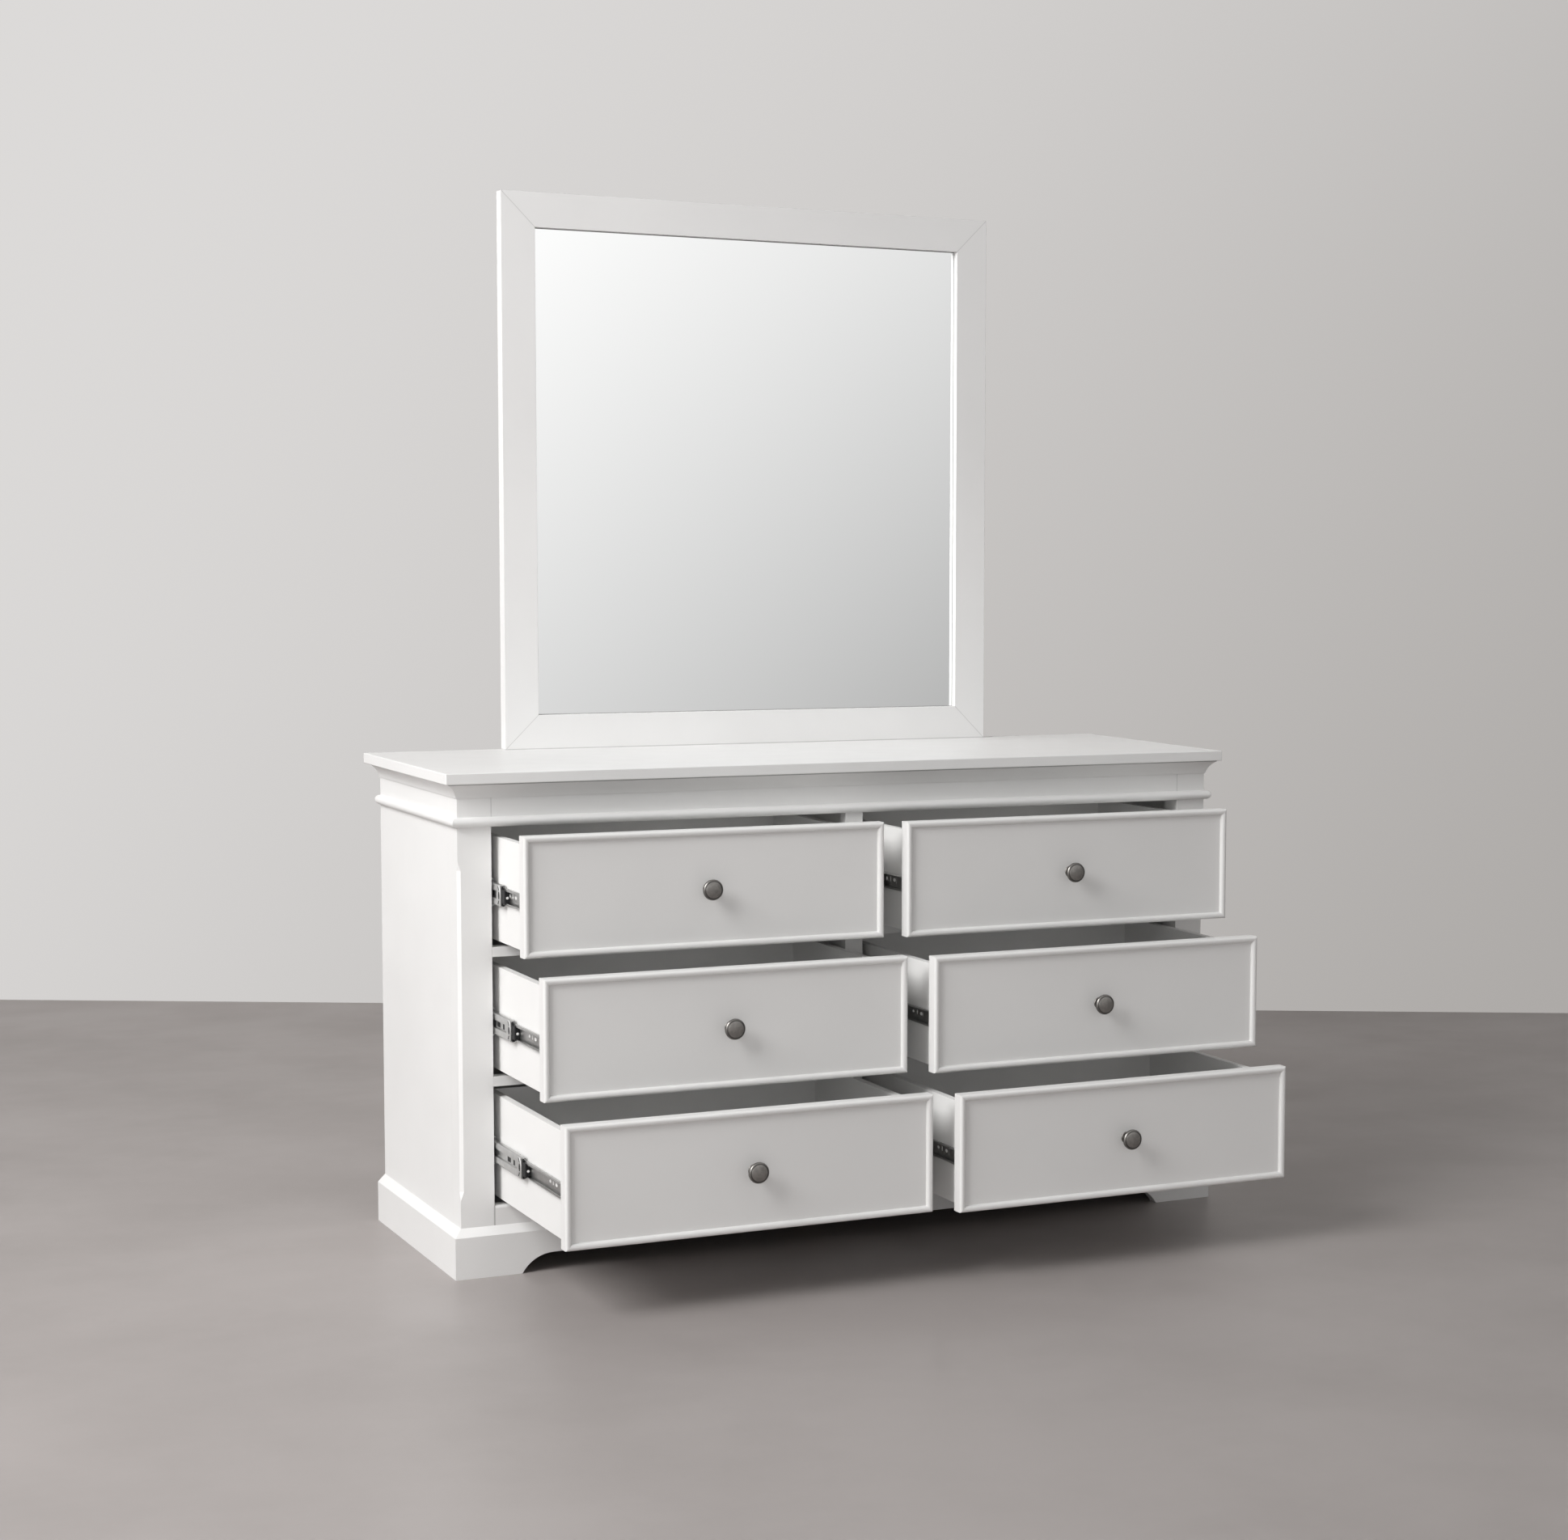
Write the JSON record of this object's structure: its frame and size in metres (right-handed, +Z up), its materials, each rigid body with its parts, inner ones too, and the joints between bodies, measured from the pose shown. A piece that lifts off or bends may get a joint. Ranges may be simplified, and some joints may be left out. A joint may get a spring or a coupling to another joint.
{
  "type": "dresser with mirror",
  "caption": "Low white painted dresser with a moulded top, a scalloped plinth and a framed mirror standing on it; its drawers run out on telescopic slides.",
  "frame": {"origin": "on the floor under the middle of the carcass, on the underside of the centre foot", "axes": "+X to the right seen from the front, the drawers open towards -Y, +Z up"},
  "size_m": [1.44, 0.9175, 1.809],
  "materials": {
    "white_paint": "satin white lacquer on board",
    "white_board": "white foil-faced board, satin",
    "plain_softwood": "sawn softwood, bare",
    "zinc_steel": "bright zinc plated sheet steel",
    "dark_nickel": "brushed dark nickel",
    "mirror_glass": "silvered float glass",
    "backing_board": "brown hardboard"
  },
  "bodies": {
    "carcass": {"plinth_front": "white_paint", "plinth_sides": "white_paint", "plinth_back": "plain_softwood", "corner_blocks": "plain_softwood", "centre_foot": "plain_softwood", "front_post_left": "white_paint", "front_post_right": "white_paint", "side_panel_left": "white_paint", "side_panel_right": "white_paint", "bottom_panel": "white_paint", "bottom_rail": "white_paint", "frieze_rail": "white_paint", "centre_stile": "white_paint", "divider_rails": "white_paint", "centre_partition": "white_board", "slide_battens": "plain_softwood", "cabinet_slides": "zinc_steel", "cove_moulding": "white_paint", "bead_moulding": "white_paint", "mirror_stile_left": "white_paint", "mirror_stile_right": "white_paint", "mirror_rail_bottom": "white_paint", "mirror_rail_top": "white_paint", "mirror_glass": "mirror_glass", "mirror_backing": "backing_board", "top_panel": "white_paint", "mirror_supports": "white_paint", "support_screws": "zinc_steel", "back_panel": "white_board", "back_rails": "plain_softwood"},
    "drawer_top_left": {"drawer_front_top_left": "white_paint", "drawer_box_top_left": "white_board", "drawer_knob_top_left": "dark_nickel", "drawer_rails_top_left": "zinc_steel"},
    "slide_top_left": {"slide_middle_top_left": "zinc_steel"},
    "drawer_top_right": {"drawer_front_top_right": "white_paint", "drawer_box_top_right": "white_board", "drawer_knob_top_right": "dark_nickel", "drawer_rails_top_right": "zinc_steel"},
    "slide_top_right": {"slide_middle_top_right": "zinc_steel"},
    "drawer_middle_left": {"drawer_front_middle_left": "white_paint", "drawer_box_middle_left": "white_board", "drawer_knob_middle_left": "dark_nickel", "drawer_rails_middle_left": "zinc_steel"},
    "slide_middle_left": {"slide_middle_middle_left": "zinc_steel"},
    "drawer_middle_right": {"drawer_front_middle_right": "white_paint", "drawer_box_middle_right": "white_board", "drawer_knob_middle_right": "dark_nickel", "drawer_rails_middle_right": "zinc_steel"},
    "slide_middle_right": {"slide_middle_middle_right": "zinc_steel"},
    "drawer_bottom_left": {"drawer_front_bottom_left": "white_paint", "drawer_box_bottom_left": "white_board", "drawer_knob_bottom_left": "dark_nickel", "drawer_rails_bottom_left": "zinc_steel"},
    "slide_bottom_left": {"slide_middle_bottom_left": "zinc_steel"},
    "drawer_bottom_right": {"drawer_front_bottom_right": "white_paint", "drawer_box_bottom_right": "white_board", "drawer_knob_bottom_right": "dark_nickel", "drawer_rails_bottom_right": "zinc_steel"},
    "slide_bottom_right": {"slide_middle_bottom_right": "zinc_steel"}
  },
  "joints": [
    {"name": "drawer_top_left_run", "type": "slide", "parent": "carcass", "child": "drawer_top_left", "axis": [0, -1, 0], "range_m": [-0.161, 0.259]},
    {"name": "slide_top_left_run", "type": "slide", "parent": "carcass", "child": "slide_top_left", "axis": [0, -1, 0], "range_m": [-0.0806, 0.1296]},
    {"name": "drawer_top_right_run", "type": "slide", "parent": "carcass", "child": "drawer_top_right", "axis": [0, -1, 0], "range_m": [-0.176, 0.244]},
    {"name": "slide_top_right_run", "type": "slide", "parent": "carcass", "child": "slide_top_right", "axis": [0, -1, 0], "range_m": [-0.0881, 0.1221]},
    {"name": "drawer_middle_left_run", "type": "slide", "parent": "carcass", "child": "drawer_middle_left", "axis": [0, -1, 0], "range_m": [-0.257, 0.163]},
    {"name": "slide_middle_left_run", "type": "slide", "parent": "carcass", "child": "slide_middle_left", "axis": [0, -1, 0], "range_m": [-0.1286, 0.0816]},
    {"name": "drawer_middle_right_run", "type": "slide", "parent": "carcass", "child": "drawer_middle_right", "axis": [0, -1, 0], "range_m": [-0.285, 0.135]},
    {"name": "slide_middle_right_run", "type": "slide", "parent": "carcass", "child": "slide_middle_right", "axis": [0, -1, 0], "range_m": [-0.1426, 0.0676]},
    {"name": "drawer_bottom_left_run", "type": "slide", "parent": "carcass", "child": "drawer_bottom_left", "axis": [0, -1, 0], "range_m": [-0.357, 0.063]},
    {"name": "slide_bottom_left_run", "type": "slide", "parent": "carcass", "child": "slide_bottom_left", "axis": [0, -1, 0], "range_m": [-0.1786, 0.0316]},
    {"name": "drawer_bottom_right_run", "type": "slide", "parent": "carcass", "child": "drawer_bottom_right", "axis": [0, -1, 0], "range_m": [-0.385, 0.035]},
    {"name": "slide_bottom_right_run", "type": "slide", "parent": "carcass", "child": "slide_bottom_right", "axis": [0, -1, 0], "range_m": [-0.1926, 0.0176]}
  ],
  "couplings": [
    {"joint": "slide_top_left_run", "follows": "drawer_top_left_run", "ratio": 0.5},
    {"joint": "slide_top_right_run", "follows": "drawer_top_right_run", "ratio": 0.5},
    {"joint": "slide_middle_left_run", "follows": "drawer_middle_left_run", "ratio": 0.5},
    {"joint": "slide_middle_right_run", "follows": "drawer_middle_right_run", "ratio": 0.5},
    {"joint": "slide_bottom_left_run", "follows": "drawer_bottom_left_run", "ratio": 0.5},
    {"joint": "slide_bottom_right_run", "follows": "drawer_bottom_right_run", "ratio": 0.5}
  ]
}
